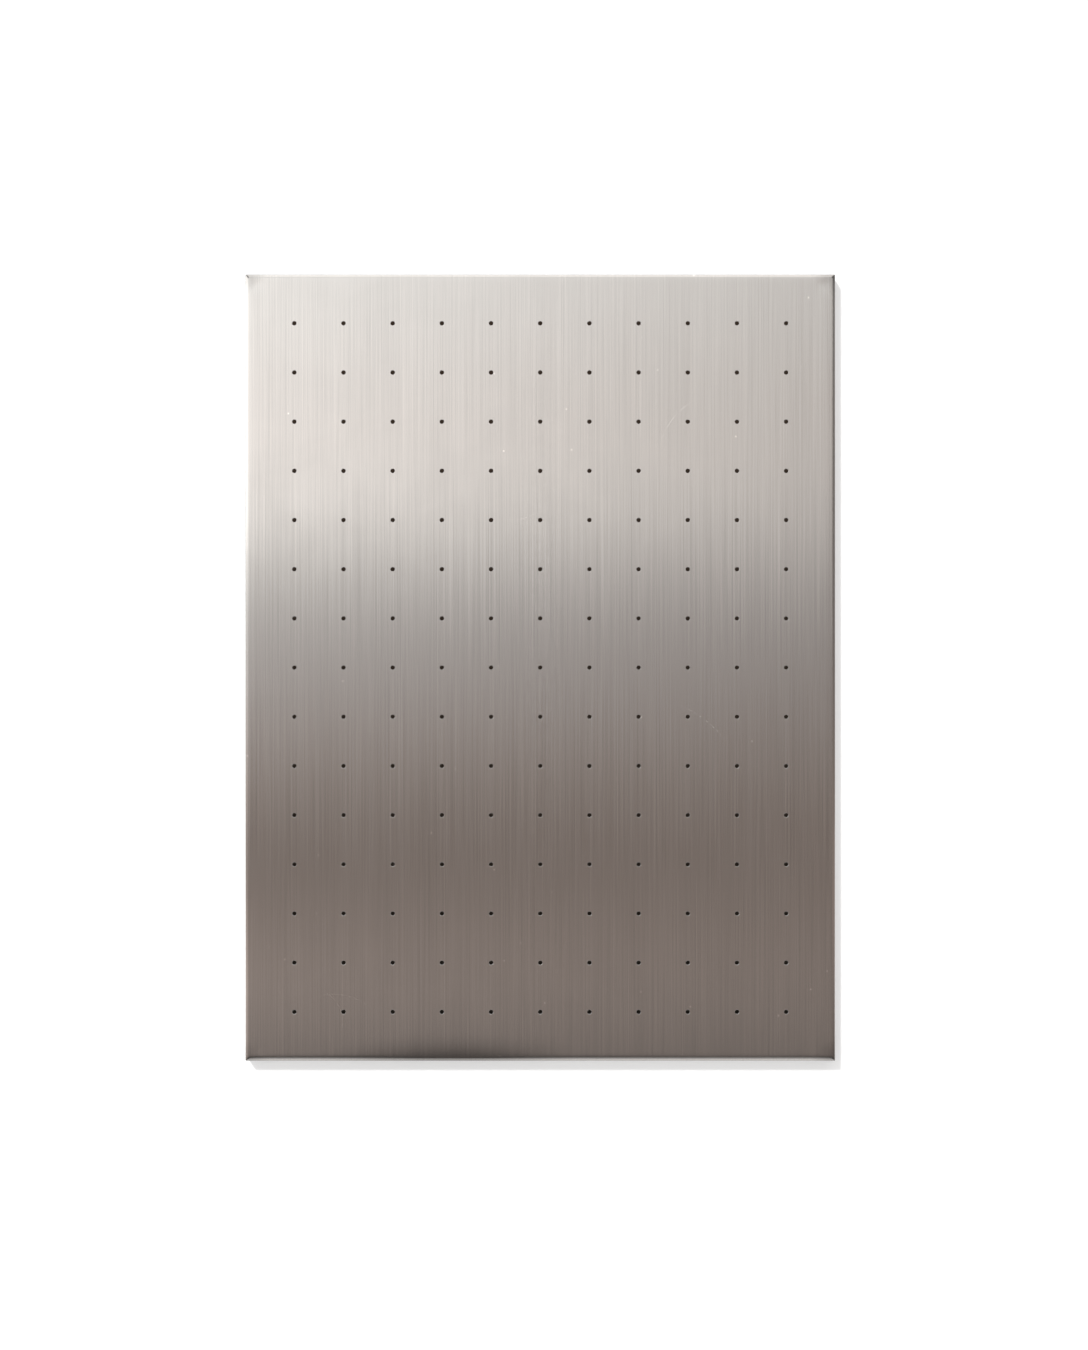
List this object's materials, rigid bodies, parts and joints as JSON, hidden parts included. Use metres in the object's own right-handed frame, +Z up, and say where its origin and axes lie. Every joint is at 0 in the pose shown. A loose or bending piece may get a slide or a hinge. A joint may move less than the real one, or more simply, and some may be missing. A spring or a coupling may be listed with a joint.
{
  "type": "pegboard panel",
  "caption": "Wall-hung pegboard panel: a brushed steel sheet with folded edges and a grid of round peg holes, hooked on hidden wall rails.",
  "frame": {"origin": "middle of the top wall rail's back face, on the wall", "axes": "+Z up, +Y into the wall, so the face looks along -Y, +X to the right of someone looking at the face"},
  "size_m": [0.6, 0.0215, 0.8],
  "materials": {
    "brushed_stainless": "brushed lengthways, satin",
    "galvanised_steel": "galvanised, dull with a faint spangle",
    "zinc_plate": "bright zinc plate",
    "copper_flash": "thin copper flash on steel",
    "aluminium_rivet": "drawn, satin",
    "grey_rubber": "matt"
  },
  "bodies": {
    "wall_rails": {"wall_rail_top": "galvanised_steel", "wall_rail_bottom": "galvanised_steel"},
    "panel": {"cleat_rivets_bottom": "aluminium_rivet", "cleat_rivets_top": "aluminium_rivet", "corner_gusset_bottom_left": "galvanised_steel", "corner_gusset_bottom_right": "galvanised_steel", "corner_gusset_top_left": "galvanised_steel", "corner_gusset_top_right": "galvanised_steel", "face_panel": "brushed_stainless", "gusset_rivets": "aluminium_rivet", "panel_cleat_bottom": "galvanised_steel", "panel_cleat_top": "galvanised_steel", "stiffener_left": "galvanised_steel", "stiffener_right": "galvanised_steel", "stud_nuts_left": "zinc_plate", "stud_nuts_right": "zinc_plate", "wall_bumper_bottom_left": "grey_rubber", "wall_bumper_bottom_right": "grey_rubber", "wall_bumper_top_left": "grey_rubber", "wall_bumper_top_right": "grey_rubber", "weld_studs_left": "copper_flash", "weld_studs_right": "copper_flash"}
  },
  "joints": [
    {"name": "panel_lift", "type": "slide", "parent": "wall_rails", "child": "panel", "axis": [0, -0.7071, 0.7071], "range_m": [0, 0.06]}
  ]
}
